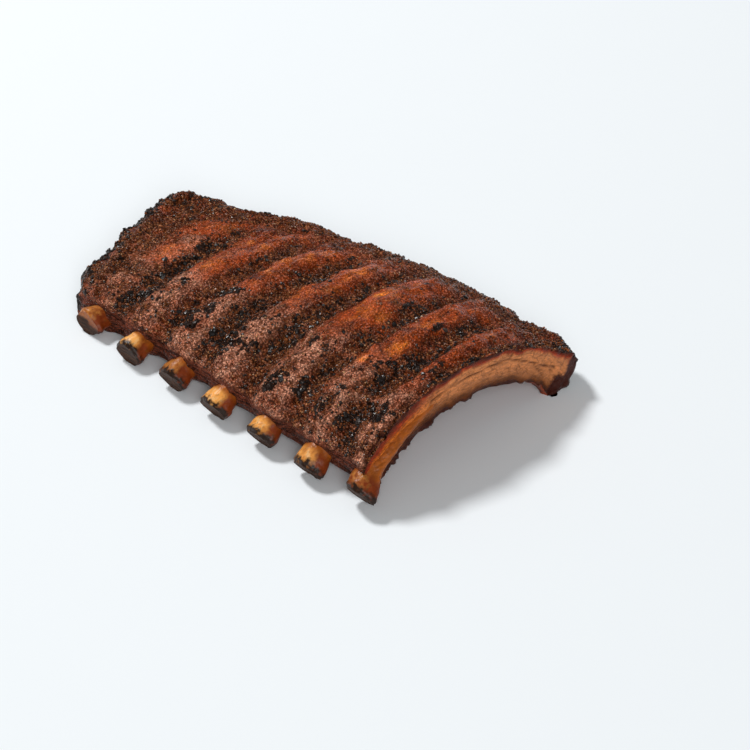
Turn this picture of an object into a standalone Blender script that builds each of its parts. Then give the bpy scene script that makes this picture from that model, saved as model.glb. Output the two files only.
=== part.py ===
"""Rack of smoked pork back ribs: seven rib bones in one arched slab of meat.

Metres, +Z up.  X runs along the rack, across the bones, and +X is the freshly cut end.
The bone tips stick out at -Y; the thick meaty edge, where the loin was, is at +Y.
The rack stands on its bone tips and on the foot of the meaty edge, all at z = 0, and
the origin is the middle of that footprint.

The slab is a box with cuts, bent over an arch.  Three numbers place a point in it:
  station   along the rack: -3 to +3 are the bones, -4 and +4 the two ends
  across    0 at the bone-tip edge, 1 at the meaty edge
  height    metres above the arch's inner face, square to it
"""
import math

import bmesh
import bpy
from mathutils import Vector

# ---- the rack as a whole ----
RIB_COUNT = 7
RIB_PITCH = 0.028
LAST_RIB = (RIB_COUNT - 1) / 2
CENTRE_X = -0.0160          # layout coordinate of the footprint's middle
CENTRE_Y = 0.0542

# ---- the arch, at the first rib, the middle rib and the last rib ----
SPAN = (0.0962, 0.1136, 0.1087)      # straight width of the inner face
RISE = (0.0032, 0.0160, 0.0200)      # height of the inner face above its two feet
LEAN = (0.0002, 0.0027, -0.0089)     # how far a rib's far end lies toward +X

# ---- the two ends of the slab ----
LEFT_NEAR_MARGIN = 0.0144   # meat past the first rib at the bone-tip edge
LEFT_FLARE = 0.0310         # and how much more of it at the meaty edge
RIGHT_NEAR_MARGIN = 0.0016
RIGHT_FLARE = 0.0156
RIGHT_BOW = -0.0022         # the knife followed the last rib, so the cut bows in
LEFT_BOW = -0.0034          # the old end bulges outward
LEFT_END_SHAPE = -1.15      # where the ends stand on the first-to-last scale, -1 to 1
RIGHT_END_SHAPE = 1.12

# ---- the meat ----
THICKNESS = 0.0161
FAR_SWELL = 0.0008          # the meaty edge is this much thicker
FAR_SWELL_SHARE = 0.6       # over this share of the way across
RIDGE_HEIGHT = 0.0036       # the swell over each bone, valley to crest
UNDER_RIDGE = 0.0009        # the same on the inner face
VALLEY_NARROWNESS = 1.4     # above 1 the crests are broad and the valleys narrow
RIDGE_MIDDLE = 0.30         # the ridges are fullest here, across
RIDGE_REACH = 0.78          # and have faded out this much further on
RIDGE_END_FADE = 1.6        # how quickly they fade past the first and last rib
RIDGE_UNEVENNESS = 0.22     # no two ribs swell quite alike
EDGE_ROLL = 0.0022          # how far the top falls away at the bone-tip edge
EDGE_ROLL_WIDTH = 0.0070
FAR_ROLL = 0.0012           # and at the meaty edge
FAR_ROLL_WIDTH = 0.0040
END_ROLL = 0.0016           # and at the old end, where the crust curls
END_ROLL_WIDTH = 0.0040
LIP_HEIGHT = 0.0020         # charred lip along the old end
LIP_DISTANCE = 0.0075
LIP_WIDTH = 0.0042
SCALLOP = 0.0022            # the bone-tip edge draws back between bones
SCALLOP_SHARE = 0.17        # and the drawn-back part reaches this far across
CORNER_RADIUS = 0.0240      # the old end's far corner is rounded off
FOOT_DROP = 0.0052          # the meaty edge's foot hangs below the arch
FOOT_WIDTH = 0.0135
SIDE_BULGE = 0.0012         # the long edges and the old end belly out
SIDE_BULGE_POWER = 9        # how closely that belly keeps to the long edges
END_BULGE_POWER = 6         # and to the old end

# ---- the bones ----
BONE_HEIGHT = 0.0066        # centre line above the inner face
BONE_HALF_WIDTH = 0.0056
BONE_HALF_THICKNESS = 0.0044
KNOB_HALF_WIDTH = 0.0071    # at the tip, where the bone spreads
KNOB_HALF_THICKNESS = 0.0054
KNOB_FADE = 0.06            # how far across the knob has gone
BONE_END = 0.93             # across, where the bone ends inside the meat
OVERHANG = (0.0064, 0.0080, 0.0074, 0.0080, 0.0078, 0.0082, 0.0060)
SIDE_SHIFT = (0.0012, 0.0020, 0.0022, 0.0018, 0.0016, 0.0015, -0.0012)
TIP_SHIFT = (0.0010, 0.0, 0.0, 0.0, 0.0, 0.0, 0.0026)
SOCKET_GAP = 0.0003
TIP_PRESS = 0.0003          # the part of a tip that is flattened where it rests

# ---- mesh density ----
LEFT_COLUMNS = 8
COLUMNS_PER_PITCH = 7
RIGHT_COLUMNS = 3
ROWS = 22
LAYERS = 3
ROW_CROWDING = 0.55         # 0 spaces the rows evenly, 1 crowds them at the edges
BONE_SIDES = 12
BONE_RINGS = 8
RING_CROWDING = 1.25        # above 1 the rings crowd toward the tip


def three_point(values, k):
    """The curve through values at k = -1, 0 and 1."""
    first, middle, last = values
    return middle + (last - first) / 2 * k + ((first + last) / 2 - middle) * k * k


def swell(x, width):
    """A smooth bump: 1 at x = 0, 0 from x = width on, either way."""
    t = min(abs(x) / width, 1.0)
    return (1 - t * t) ** 2


class Section:
    """The arch's cross section at one station, from the bone-tip edge to the meaty edge."""

    def __init__(self, station):
        past = max(0.0, abs(station) - LAST_RIB)
        inside = max(-LAST_RIB, min(LAST_RIB, station))
        self.start_x = inside * RIB_PITCH
        k = inside / LAST_RIB
        self.lean = three_point(LEAN, k)
        if station < 0:
            k += past * (LEFT_END_SHAPE + 1)
            self.start_x -= past * LEFT_NEAR_MARGIN
            self.lean -= past * LEFT_FLARE
        else:
            k += past * (RIGHT_END_SHAPE - 1)
            self.start_x += past * RIGHT_NEAR_MARGIN
            self.lean += past * RIGHT_FLARE
        self.span = three_point(SPAN, k)
        self.rise = three_point(RISE, k)
        self.radius = (self.span ** 2 / 4 + self.rise ** 2) / (2 * self.rise)
        self.half_angle = math.asin(self.span / 2 / self.radius)
        self.bow = past * (LEFT_BOW if station < 0 else RIGHT_BOW)
        self.lift = 0.0
        tip = self.point(-max(OVERHANG) / self.span, BONE_HEIGHT - KNOB_HALF_THICKNESS)
        self.lift = -(tip.z + TIP_PRESS) / (1 - tip.y / self.span)

    def point(self, across, height, sideways=0.0):
        """A point of the slab; the bone-tip edge is lifted so that the tips rest on z = 0."""
        angle = self.half_angle * (2 * across - 1)
        y = self.span / 2 + (self.radius + height) * math.sin(angle)
        z = (self.radius + height) * math.cos(angle) - self.radius + self.rise
        share = y / self.span
        bow = self.bow * 4 * share * (1 - share)
        x = self.start_x + self.lean * share + bow + sideways
        return Vector((x, y, z + self.lift * (1 - share)))


def on_footprint(point):
    """Layout coordinates to the part's own: centred, and nothing below the floor."""
    return Vector((point.x - CENTRE_X, point.y - CENTRE_Y, max(point.z, 0.0)))


def ridge(station, across):
    """1/2 on the crest over a bone, -1/2 in the valley, fading to 0 at the edges."""
    valley = 0.5 - 0.5 * math.cos(2 * math.pi * station)
    wave = 0.5 - valley ** VALLEY_NARROWNESS
    past = max(0.0, abs(station) - LAST_RIB)
    fade = swell(across - RIDGE_MIDDLE, RIDGE_REACH)
    fade *= 1 - min(1.0, past * RIDGE_END_FADE)
    unevenness = 1 + RIDGE_UNEVENNESS * math.sin(2.3 * station + 5 * across)
    return wave * fade * unevenness


def distance_from_left_end(station, across):
    return (station + LAST_RIB + 1) * (LEFT_NEAR_MARGIN + LEFT_FLARE * across)


def rounded_corner(from_end, from_edge):
    """How far a point moves in from each side when a square corner is made round."""
    x = CORNER_RADIUS - from_end
    y = CORNER_RADIUS - from_edge
    if min(x, y) <= 0:
        return 0.0, 0.0
    shrink = 1 - max(x, y) / math.hypot(x, y)
    return x * shrink, y * shrink


def top_height(station, across, section):
    """Height of the crust above the arch's inner face."""
    height = THICKNESS + RIDGE_HEIGHT * ridge(station, across)
    height += FAR_SWELL * swell(1 - across, FAR_SWELL_SHARE)
    near = across * section.span
    far = (1 - across) * section.span
    height -= EDGE_ROLL * swell(near, EDGE_ROLL_WIDTH)
    height -= FAR_ROLL * swell(far, FAR_ROLL_WIDTH)
    if station < -LAST_RIB:
        from_end = distance_from_left_end(station, across)
        height -= END_ROLL * swell(from_end, END_ROLL_WIDTH)
        height += LIP_HEIGHT * swell(from_end - LIP_DISTANCE, LIP_WIDTH)
    return height


def under_height(station, across, section):
    """Height of the slab's underside: low over each bone, and dropped along the foot."""
    far = (1 - across) * section.span
    under = -UNDER_RIDGE * ridge(station, across)
    return under - FOOT_DROP * swell(far, FOOT_WIDTH)


def slab_point(station, across, layer):
    """A surface point of the meat; layer is 0 on the underside and 1 on the crust."""
    section = Section(station)
    under = under_height(station, across, section)
    top = top_height(station, across, section)
    height = under + (top - under) * layer
    belly = SIDE_BULGE * math.sin(math.pi * layer)
    scallop = SCALLOP * (0.5 - 0.5 * math.cos(2 * math.pi * station))
    if abs(station) > LAST_RIB:
        scallop = SCALLOP / 2 * swell(abs(station) - LAST_RIB - 0.5, 0.5)
    edge = 2 * across - 1
    push = belly * edge ** SIDE_BULGE_POWER
    push += scallop * max(0.0, 1 - across / SCALLOP_SHARE) ** 2
    moved = across + push / section.span
    sideways = 0.0
    if station < -LAST_RIB:
        end_share = -(station + LAST_RIB)
        from_end = distance_from_left_end(station, across)
        sideways, inward = rounded_corner(from_end, (1 - across) * section.span)
        moved -= inward / section.span
        sideways -= belly * end_share ** END_BULGE_POWER
    return section.point(moved, height, sideways)


def column_stations():
    """Stations of the cuts along the rack, wider apart past the first rib."""
    left = [-LAST_RIB - 1 + i / LEFT_COLUMNS for i in range(LEFT_COLUMNS)]
    inner_count = (RIB_COUNT - 1) * COLUMNS_PER_PITCH
    inner = [-LAST_RIB + i / COLUMNS_PER_PITCH for i in range(inner_count)]
    right = [LAST_RIB + i / RIGHT_COLUMNS for i in range(RIGHT_COLUMNS + 1)]
    return left + inner + right


def row_position(share):
    """Rows crowd toward the two long edges, where the top rolls over."""
    return share - ROW_CROWDING * math.sin(2 * math.pi * share) / (2 * math.pi)


def add_object(name, mesh_builder, collection):
    """A new object whose mesh is the finished bmesh."""
    mesh = bpy.data.meshes.new(name)
    mesh_builder.normal_update()
    bmesh.ops.recalc_face_normals(mesh_builder, faces=mesh_builder.faces)
    mesh_builder.to_mesh(mesh)
    mesh_builder.free()
    mesh.shade_smooth()
    mesh.set_sharp_from_angle(angle=math.radians(50))
    obj = bpy.data.objects.new(name, mesh)
    collection.objects.link(obj)
    return obj


def cut_parallel_edges(mesh_builder, axis, cuts):
    """Add evenly spaced cuts across every edge that runs along one axis."""
    edges = []
    for edge in mesh_builder.edges:
        run = edge.verts[1].co - edge.verts[0].co
        if abs(run[axis]) > run.length * 0.999:
            edges.append(edge)
    bmesh.ops.subdivide_edges(mesh_builder, edges=edges, cuts=cuts, use_grid_fill=True)


def make_meat(collection):
    """The slab, bent from a box with cuts."""
    stations = column_stations()
    slab = bmesh.new()
    bmesh.ops.create_cube(slab, size=1)
    cut_parallel_edges(slab, 0, len(stations) - 2)
    cut_parallel_edges(slab, 1, ROWS - 1)
    cut_parallel_edges(slab, 2, LAYERS - 1)
    for vert in slab.verts:
        column = round((vert.co.x + 0.5) * (len(stations) - 1))
        across = row_position(vert.co.y + 0.5)
        vert.co = on_footprint(slab_point(stations[column], across, vert.co.z + 0.5))
    return add_object("meat", slab, collection)


def make_bone(name, number, grow, collection):
    """One rib bone along the arch, from its cut tip to its end inside the meat."""
    section = Section(number - 1 - LAST_RIB)
    start = -(OVERHANG[number - 1] + grow) / section.span
    end = BONE_END + grow / section.span
    bone = bmesh.new()
    bmesh.ops.create_cone(bone, cap_ends=True, segments=BONE_SIDES, radius1=1, radius2=1, depth=1)
    cut_parallel_edges(bone, 2, BONE_RINGS - 1)
    for vert in bone.verts:
        across = start + (end - start) * (vert.co.z + 0.5) ** RING_CROWDING
        knob = swell(max(0.0, across - start), KNOB_FADE - start)
        half_width = BONE_HALF_WIDTH + (KNOB_HALF_WIDTH - BONE_HALF_WIDTH) * knob
        half_thick = BONE_HALF_THICKNESS + (KNOB_HALF_THICKNESS - BONE_HALF_THICKNESS) * knob
        height = BONE_HEIGHT + vert.co.y * (half_thick + grow)
        shift = SIDE_SHIFT[number - 1] + TIP_SHIFT[number - 1] * knob
        sideways = shift + vert.co.x * (half_width + grow)
        vert.co = on_footprint(section.point(across, height, sideways))
    return add_object(name, bone, collection)


def make_material(name, colour, roughness):
    """A Principled material."""
    material = bpy.data.materials.new(name)
    material.use_nodes = True
    shader = material.node_tree.nodes["Principled BSDF"]
    shader.inputs["Base Color"].default_value = (*colour, 1)
    shader.inputs["Roughness"].default_value = roughness
    shader.inputs["Metallic"].default_value = 0
    return material


def cut_socket(meat, socket):
    """Leave room in the meat for a bone."""
    cut = meat.modifiers.new(socket.name, "BOOLEAN")
    cut.operation = "DIFFERENCE"
    cut.solver = "EXACT"
    cut.object = socket


def new_collection(name):
    collection = bpy.data.collections.new(name)
    bpy.context.scene.collection.children.link(collection)
    return collection


def main():
    for old in list(bpy.data.objects):
        bpy.data.objects.remove(old, do_unlink=True)
    rack = new_collection("rack_of_ribs")
    cutters = new_collection("cutters")

    meat = make_meat(rack)
    meat.data.materials.append(make_material("smoked_bark", (0.10, 0.035, 0.02), 0.5))
    bone_material = make_material("smoked_bone", (0.42, 0.20, 0.08), 0.45)
    for number in range(1, RIB_COUNT + 1):
        bone = make_bone(f"bone_{number}", number, 0.0, rack)
        bone.data.materials.append(bone_material)
        socket = make_bone(f"socket_{number}", number, SOCKET_GAP, cutters)
        socket.hide_render = True
        socket.display_type = "WIRE"
        cut_socket(meat, socket)


main()
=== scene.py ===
"""Looks of a rack of smoked pork back ribs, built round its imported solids.

Metres, +Z up.  X runs along the rack towards the freshly cut end, and the bone tips are
at -Y.  The meat is laid out with three numbers, as its solid is:
  station   along the rack: -3 to +3 are the bones, -4 and +4 the two ends
  across    0 at the bone-tip edge, 1 at the meaty edge
  layer     0 on the inner face, 1 on the crust
"""

import functools
import itertools
import math

import bmesh
import bpy
import numpy as np
from bpy.props import FloatProperty, FloatVectorProperty, IntProperty, PointerProperty
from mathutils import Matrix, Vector


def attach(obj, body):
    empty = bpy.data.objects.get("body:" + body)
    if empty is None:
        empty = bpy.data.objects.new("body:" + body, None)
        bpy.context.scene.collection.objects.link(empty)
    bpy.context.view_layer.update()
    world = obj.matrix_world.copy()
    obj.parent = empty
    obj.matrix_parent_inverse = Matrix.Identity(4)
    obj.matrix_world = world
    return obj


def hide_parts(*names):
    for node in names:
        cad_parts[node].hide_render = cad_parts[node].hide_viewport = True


bl_info = {
    "name": "Rack of ribs",
    "version": (1, 0, 0),
    "blender": (4, 5, 0),
    "location": "3D View > Sidebar > Rack of ribs",
    "description": "Adds a rack of smoked back ribs with its crust, bones and studio",
    "category": "Add Mesh",
}

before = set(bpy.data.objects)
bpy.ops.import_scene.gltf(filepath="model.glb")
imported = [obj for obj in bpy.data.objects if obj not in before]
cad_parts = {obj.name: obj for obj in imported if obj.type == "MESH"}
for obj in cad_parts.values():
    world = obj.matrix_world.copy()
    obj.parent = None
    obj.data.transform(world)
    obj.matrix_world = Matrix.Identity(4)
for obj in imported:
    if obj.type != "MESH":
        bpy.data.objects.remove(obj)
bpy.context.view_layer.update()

# ---- the rack's layout, in metres, as in the solids ----
RIB_COUNT = 7
RIB_PITCH = 0.028
LAST_RIB = (RIB_COUNT - 1) / 2
CENTRE = (-0.0160, 0.0542, 0.0)
SPAN = (0.0962, 0.1136, 0.1087)
RISE = (0.0032, 0.0160, 0.0200)
LEAN = (0.0002, 0.0027, -0.0089)
LEFT_NEAR_MARGIN = 0.0144
LEFT_FLARE = 0.0310
RIGHT_NEAR_MARGIN = 0.0016
RIGHT_FLARE = 0.0156
RIGHT_BOW = -0.0022
LEFT_BOW = -0.0034
LEFT_END_SHAPE = -1.15
RIGHT_END_SHAPE = 1.12
THICKNESS = 0.0161
FAR_SWELL = 0.0008
FAR_SWELL_SHARE = 0.6
RIDGE_HEIGHT = 0.0036
UNDER_RIDGE = 0.0009
VALLEY_NARROWNESS = 1.4
RIDGE_MIDDLE = 0.30
RIDGE_REACH = 0.78
RIDGE_END_FADE = 1.6
RIDGE_UNEVENNESS = 0.22
RIDGE_DRIFT = (2.3, 5)
EDGE_ROLL = 0.0022
EDGE_ROLL_WIDTH = 0.0070
FAR_ROLL = 0.0012
FAR_ROLL_WIDTH = 0.0040
END_ROLL = 0.0016
END_ROLL_WIDTH = 0.0040
LIP_HEIGHT = 0.0020
LIP_DISTANCE = 0.0075
LIP_WIDTH = 0.0042
SCALLOP = 0.0022
SCALLOP_SHARE = 0.17
CORNER_RADIUS = 0.0185      # the solid's is 24 mm, and the crust fills it out
NEAR_SLANT = 0.0038         # the crust draws back from the bone tips
NEAR_SLANT_SHARE = 0.25
NEAR_SKIRT = 0.0024         # the meat hangs lower between the later bones
SKIRT_START = (-2.0, 2.2)   # stations
FOOT_DROP = 0.0052
FOOT_WIDTH = 0.0135
SIDE_BULGE = 0.0012
SIDE_BULGE_POWER = 9
END_BULGE_POWER = 6
BONE_HEIGHT = 0.0066
BONE_HALF_WIDTH = 0.0056
BONE_HALF_THICKNESS = 0.0044
KNOB_HALF_WIDTH = 0.0071
KNOB_HALF_THICKNESS = 0.0054
KNOB_COAT = 0.0005          # smoked film on the solid's bones
KNOB_FADE = 0.06
OVERHANG = (0.0064, 0.0080, 0.0074, 0.0080, 0.0078, 0.0082, 0.0060)
SIDE_SHIFT = (0.0012, 0.0020, 0.0022, 0.0018, 0.0016, 0.0015, -0.0012)
TIP_SHIFT = (-0.0012, 0.0, 0.0, 0.0, 0.0, 0.0, 0.0026)
TIP_PRESS = 0.0003

# ---- mesh density of the dressed pieces ----
LEFT_COLUMNS = 50
PITCH_COLUMNS = 41
RIGHT_COLUMNS = 22
ROWS = 176
LAYERS = 24
ROW_CROWDING = 0.35
LAYER_CROWDING = 0.30
UNDER_STEP = 2              # the inner face is this much coarser
TOP_SIDE, NEAR_SIDE, FAR_SIDE, OLD_SIDE, CUT_SIDE, UNDER_SIDE = range(6)
BONE_RINGS = 44
BONE_SIDES = 44
CAP_RINGS = 8

# ---- where the crust is glazed, dusty with a painted sheen, or charred: station, across, two half widths, share ----
GLAZED = (
    (-2.82, 0.79, 0.24, 0.09, 0.8), (-2.30, 0.66, 0.24, 0.06, 0.8), (-2.42, 0.53, 0.26, 0.09, 0.8),
    (-2.15, 0.44, 0.28, 0.10, 0.7), (-1.80, 0.64, 0.20, 0.10, 0.8), (-1.75, 0.83, 0.32, 0.08, 0.5),
    (-1.15, 0.53, 0.28, 0.10, 1.0), (-0.98, 0.68, 0.28, 0.06, 0.8), (-0.70, 0.77, 0.32, 0.07, 0.6),
    (-0.75, 0.45, 0.25, 0.12, 0.5), (-0.15, 0.63, 0.32, 0.08, 1.0), (-0.30, 0.46, 0.28, 0.11, 0.8),
    (0.10, 0.54, 0.26, 0.12, 0.7), (0.15, 0.72, 0.32, 0.06, 0.6), (0.78, 0.57, 0.24, 0.11, 1.0),
    (0.90, 0.45, 0.24, 0.09, 0.9), (1.10, 0.70, 0.32, 0.07, 0.7), (1.30, 0.47, 0.28, 0.09, 0.8),
    (1.38, 0.61, 0.16, 0.06, 0.7), (1.78, 0.33, 0.28, 0.04, 0.9), (2.12, 0.42, 0.26, 0.08, 1.0),
    (2.05, 0.58, 0.18, 0.10, 0.7), (2.32, 0.77, 0.32, 0.07, 0.7), (2.60, 0.66, 0.22, 0.10, 0.5),
    (3.30, 0.76, 0.32, 0.06, 0.6), (-3.02, 0.45, 0.22, 0.08, 0.5), (-1.62, 0.12, 0.12, 0.12, 0.5),
    (1.65, 0.20, 0.14, 0.15, 0.5), (0.45, 0.08, 0.16, 0.08, 0.4),
)
DUST_AND_SHEEN_PATCHES = (
    (-3.20, 0.24, 0.45, 0.30, 0.8), (-2.95, 0.48, 0.34, 0.16, 0.9), (-2.10, 0.31, 0.32, 0.12, 0.8),
    (-1.95, 0.14, 0.34, 0.16, 0.9), (-0.85, 0.20, 0.34, 0.18, 0.9), (0.08, 0.21, 0.40, 0.20, 1.0),
    (1.15, 0.17, 0.38, 0.18, 0.9), (2.18, 0.18, 0.36, 0.18, 0.9), (2.95, 0.14, 0.30, 0.18, 0.9),
    (0.60, 0.92, 2.40, 0.12, 0.5),
)
CHARRED = (
    (-2.66, 0.58, 0.16, 0.16, 0.8), (-2.62, 0.36, 0.14, 0.14, 0.8), (-2.40, 0.20, 0.20, 0.12, 0.9),
    (-1.45, 0.17, 0.24, 0.11, 1.0), (-1.10, 0.34, 0.28, 0.05, 1.0), (-0.58, 0.20, 0.16, 0.14, 1.0),
    (-0.40, 0.16, 0.20, 0.10, 0.9), (-0.50, 0.60, 0.14, 0.10, 0.6), (0.46, 0.26, 0.14, 0.14, 0.9),
    (0.92, 0.12, 0.18, 0.08, 0.9), (1.36, 0.13, 0.10, 0.05, 1.0), (1.55, 0.62, 0.22, 0.12, 0.6),
    (1.85, 0.14, 0.16, 0.10, 0.8), (2.20, 0.57, 0.10, 0.05, 0.9), (2.30, 0.30, 0.16, 0.04, 1.0),
    (2.50, 0.42, 0.16, 0.14, 0.7), (2.78, 0.18, 0.16, 0.07, 1.0), (2.48, 0.14, 0.12, 0.10, 0.8),
    (-3.60, 0.88, 0.30, 0.14, 0.7), (-1.60, 0.73, 0.14, 0.04, 0.8), (0.45, 0.58, 0.14, 0.16, 0.6),
    (2.95, 0.40, 0.20, 0.08, 0.6), (1.30, 0.87, 0.40, 0.10, 0.4), (-0.30, 0.90, 0.40, 0.08, 0.4),
)

# ---- valleys between the ribs: station, share of the full depth ----
VALLEYS = ((-2.62, 1.0), (-1.52, 0.9), (-0.55, 1.0), (0.42, 1.0), (1.53, 0.9), (2.48, 0.9))

# ---- how golden each bone's top is ----
COVERED_BONE = 1  # its sawn face is half covered by dried meat
BONE_GOLD = (0.35, 1.0, 0.35, 1.0, 0.75, 0.65, 0.25)

# ---- the muscle seam on the cut face, as across and layer ----
SEAM = (
    (0.34, 0.60), (0.44, 0.64), (0.53, 0.60), (0.61, 0.66), (0.68, 0.70), (0.73, 0.64),
    (0.79, 0.56), (0.86, 0.50), (0.91, 0.56),
)
SEAM_BRANCHES = (
    ((0.68, 0.70), (0.70, 0.84)), ((0.80, 0.55), (0.83, 0.40), (0.87, 0.24)), ((0.86, 0.50), (0.93, 0.40)),
)

# ---- the crust.  A pair holds the two ends of a smooth change, from none to full.  One that runs
# the other way is told in minus stations, minus across, minus layer or minus metres ----
VALLEY_WANDER = ((0.10, 0.035, 3), (0.05, 0.011, 4))    # stations, size and seed
VALLEY_ENDS = ((-0.10, 0.05), (0.62, 0.98))             # across: where valleys begin and end
VALLEY_WIDTH = 0.30
GRIT_VALLEY_WIDTH = 0.34
PATCH_WANDER = (0.16, 0.035)                            # station and across
PATCH_RAGGEDNESS = 0.006
PATCH_FADE = 1.35                                       # a patch reaches past its half width
SHOULDER = ((-0.06, 0.60), (0.56, 0.38))                # middle and half width, by a rib and across
SHOULDER_EDGE = (0.15, 0.55)
CREST = ((0.0, 0.20), (0.58, 0.30))
CREST_WANDER = (0.10, 0.02, 94)
OLD_END_UNGLAZED = (-3.5, -3.1)                         # stations
NEAR_STRIP = (0.26, 0.44)                               # across: the dry strip by the bone tips, which also gets a painted sheen and painted light
CUT_STRIP = (3.15, 3.75)                                # stations: the rough strip by the cut end
OLD_STRIP = (2.75, 3.0)                                 # minus stations: the strip by the old end
OLD_WALL = (-0.008, -0.001)                             # minus metres from the old end
OLD_RIM = (-0.0015, -0.0002)
OLD_RIM_CHAR = 0.7
FAR_GRIT = (0.80, 0.92)                                 # across
FAR_GRIT_SHARE = 0.7
FAR_CHAR = (0.93, 0.99)                                 # across
FAR_CHAR_SHARE = 0.5
PATCH_CHAR = 0.75
FOOT = ((3.5, 3.95), (0.88, 0.97))                      # stations and across
FOOT_CHAR = 0.9
BURNT_EDGE = (0.45, 0.65)                               # of the char mask with its clumps
SIDE_STRIP = ((-0.93, -0.80), (-0.2, -0.1), (0.001, 0.006))     # minus layer, minus across, metres
TOP = (0.75, 0.98)                                      # layer
RIM = (0.02, 0.2)                                       # layer, at the foot of the sides
UNDER = (-0.06, -0.01)                                  # minus layer

# ---- ragged blots: share, size, seed, and the noise where they start and are full ----
SHOULDER_GLAZE = (0.75, 0.0075, 21, -0.5, 0.3)
PATCH_GOLD = (1.0, 0.004, 93, -0.3, 0.5)
CREST_GOLD = (0.7, 0.006, 96, -0.1, 0.4)
NEAR_DUST_AND_SHEEN = (0.8, 0.0075, 21, -0.6, 0.3)
OLD_GRIT = (0.9, 0.0075, 21, -0.5, 0.2)
LOOSE_GRIT = (0.9, 0.007, 23, 0.15, 0.5)
GRIT_COVER = (1.0, 0.004, 24, -0.75, 0.0)
VALLEY_CHAR = (0.55, 0.005, 51, -0.2, 0.5)
NEAR_CHAR = (0.48, 0.007, 71, 0.15, 0.5)
CUT_CHAR = (0.70, 0.006, 73, -0.1, 0.4)
OLD_CHAR = (0.8, 0.007, 81, -0.5, 0.2)
FRINGE = (1.0, 0.006, 97, 0.0, 0.4)
CLUSTERS = (1.0, 0.006, 95, -0.1, 0.5)

# ---- relief that is not among the user's sizes: height in metres, place, noise size and seed ----
FOLD_SHAPE = (0.4, 1.0, 0.4)                            # long along the ribs
STRAND_HEIGHT, STRAND_NOISE = 0.00022, ((0.0017, 0.008, 0.0017), 29)
# Lumps: at the old end, at the cut face's foot, along its fringe, and along the meaty edge.
OLD_LUMP_HEIGHT, OLD_LUMP = 0.0030, ((-3.95, 0.30), (0.15, 0.10), (0.3, 0.7))
FOOT_LUMP_HEIGHT, FOOT_LUMP = 0.0022, ((0.90, 0.96), (-0.85, -0.35))
FRINGE_HEIGHT, FRINGE_PLACE = 0.0015, ((3.70, 3.97), (-0.12, -0.02))
FAR_RISE_HEIGHT, FAR_RISE = 0.0020, ((0.90, 0.97), (0.4, 0.8))
FAR_RISE_BUMPS = ((1.5, 3.25, 0.75), (1.0, -2.35, 0.75))        # share, station, half width
FAR_DIP = (2.9, 3.4)
UNDER_HEIGHT, UNDER_NOISE = 0.0006, (0.010, 17)
FIBRE_HEIGHT, FIBRE_NOISE = 0.00045, ((0.012, 0.0014, 0.0014), 25)
FIBRE_REACH = 0.02
CUT_HEIGHT, CUT_NOISE = 0.0004, ((0.002, 0.009, 0.003), 27)
CRUST_SINK = 0.0007                                     # so that the grains don't thicken the crust
CUT_FACE = (0.115, 0.019)                               # the cut face's length and thickness
SEAM_HALF_WIDTH, SEAM_DEPTH = 0.0007, 0.0005
BRANCH_HALF_WIDTH, BRANCH_SHARE = 0.0005, 0.8
NEAR_BONE = (-0.46, -0.22)                              # minus across: where gristle takes over
CUT_CRUST = ((0.88, 0.97), (-0.75, -0.35), (0.94, 0.985))       # across, minus layer, across
DEPTH_WANDER, DEPTH_NOISE = 0.09, (0.005, 33)
CUT_PLANE = (3.999, 4.0)                                # stations

# ---- how much is left of one thing where another is 0 and where it is 1 ----
GLAZE_BY_VALLEY, GLAZE_BY_CUT = (1.0, 0.2), (1.0, 0.3)
GRIT_BY_GLAZE = (1.0, 0.15)
COBBLE_BY_GLAZE = (1.0, 0.5)
CRUMB_BY_GRIT, CRUMB_BY_GLAZE = (0.35, 1.0), (1.0, 0.2)
KNOB_BY_DUST_AND_SHEEN, KNOB_BY_GLAZE = (0.4, 1.0), (1.0, 0.3)
STRAND_BY_GLAZE = (0.3, 1.0)
CHAR_BY_CLUMP, FOOT_LUMP_BY_CLUMP = (0.3, 1.0), (0.4, 1.0)      # each clump has its own number
RELIEF_BY_CUT = (1.0, 0.2)
LIGHT_CRUMB_BY_GLAZE, LIGHT_KNOB_BY_GLAZE = (1.0, 0.3), (1.0, 0.4)

# ---- the sides' share of the relief, how clumps move the char's edge, heights that count as level ----
SIDE_RELIEF = 0.7
BURNT_BY_CLUMP, BURNT_BY_KIND = 0.5, 0.4
CRUMB_MIDDLE, KNOB_MIDDLE, LIGHT_KNOB_MIDDLE, FOOT_LUMP_MIDDLE = 0.6, 0.5, 0.6, 0.2

# ---- painted light on the crust, lighter on higher knobs, crumbs and cobbles and along the near strip, darker in the hollows and toward the far edge, lighter toward the old end: shares, then places across and along ----
LIGHT_NEAR = 0.07
LIGHT_KNOB = 0.45
LIGHT_COBBLE = 0.35
LIGHT_CRUMB = 0.6
LIGHT_OLD = (0.30, (-2.7, -1.4), (0.42, 0.40))
DARK_FAR = (0.22, (0.78, 0.90), (-2.0, 2.0))

# ---- loose grains: material, dark and light tone, roughness, ball levels, flatness, sink, seed ----
GRAINS = {
    "cracked_pepper": ("cracked_pepper", "#100B09", "#30211A", 0.28, 2, 0.6, 0.35, 101),
    "burnt_crumbs": ("burnt_sugar", "#0E0A08", "#2A1A12", 0.26, 1, 0.6, 0.35, 104),
    "rub_grains": ("rub_grains", "#1C0B05", "#8A4C26", 0.20, 1, 0.75, 0.25, 102),
    "pale_specks": ("pale_specks", "#6E3A1C", "#D0A070", 0.22, 1, 0.8, 0.2, 103),
}
PEPPER_CHANCES = (0.03, 0.9, 0.3)   # everywhere, on char, in valleys
RUB_CHANCES = (0.08, 1.2, 0.25)     # everywhere, on grit, on dust
SPECK_CHANCES = (0.10, 0.8, 0.6)
PEPPER_BY_CLUSTER, RUB_BY_GLAZE, SPECK_BY_GLAZE = (0.15, 1.0), (1.0, 0.1), (1.0, 0.3)
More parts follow.
